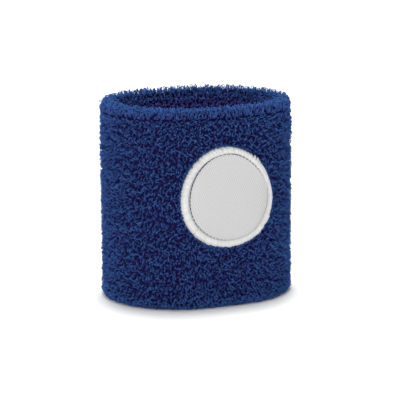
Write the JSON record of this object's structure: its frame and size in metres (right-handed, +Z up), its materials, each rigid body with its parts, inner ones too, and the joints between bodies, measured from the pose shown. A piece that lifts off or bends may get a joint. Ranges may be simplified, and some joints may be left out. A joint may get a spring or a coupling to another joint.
{
  "type": "sweat wristband",
  "caption": "Oval terry sweat wristband: knitted tube folded double and seamed, elastic threads inside, and a blank round embroidered badge on the front.",
  "frame": {"origin": "centre of the footprint, on the surface that the band stands on", "axes": "+X across the wide way of the oval, -Y out through the badge at the front, +Z up along the wrist opening"},
  "size_m": [0.0786, 0.0638, 0.08],
  "materials": {
    "terry": "matte",
    "ground_knit": "matte",
    "elastic": "matte",
    "seam_thread": "matte",
    "badge_film": "satin",
    "badge_stiffener": "matte",
    "badge_cloth": "satin",
    "badge_border": "satin",
    "badge_cord": "matte",
    "badge_thread": "satin"
  },
  "bodies": {
    "root": {"outer_pile": "terry", "inner_pile": "terry", "top_fold_pile": "terry", "bottom_fold_pile": "terry", "ground_knit": "ground_knit", "outer_elastic_threads": "elastic", "inner_elastic_threads": "elastic", "closing_seam_thread": "seam_thread", "badge_glue_film": "badge_film", "badge_stiffener": "badge_stiffener", "badge_face_cloth": "badge_cloth", "badge_border": "badge_border", "badge_border_cord": "badge_cord", "badge_stitches": "badge_thread", "badge_bobbin_thread": "badge_thread"}
  },
  "joints": []
}
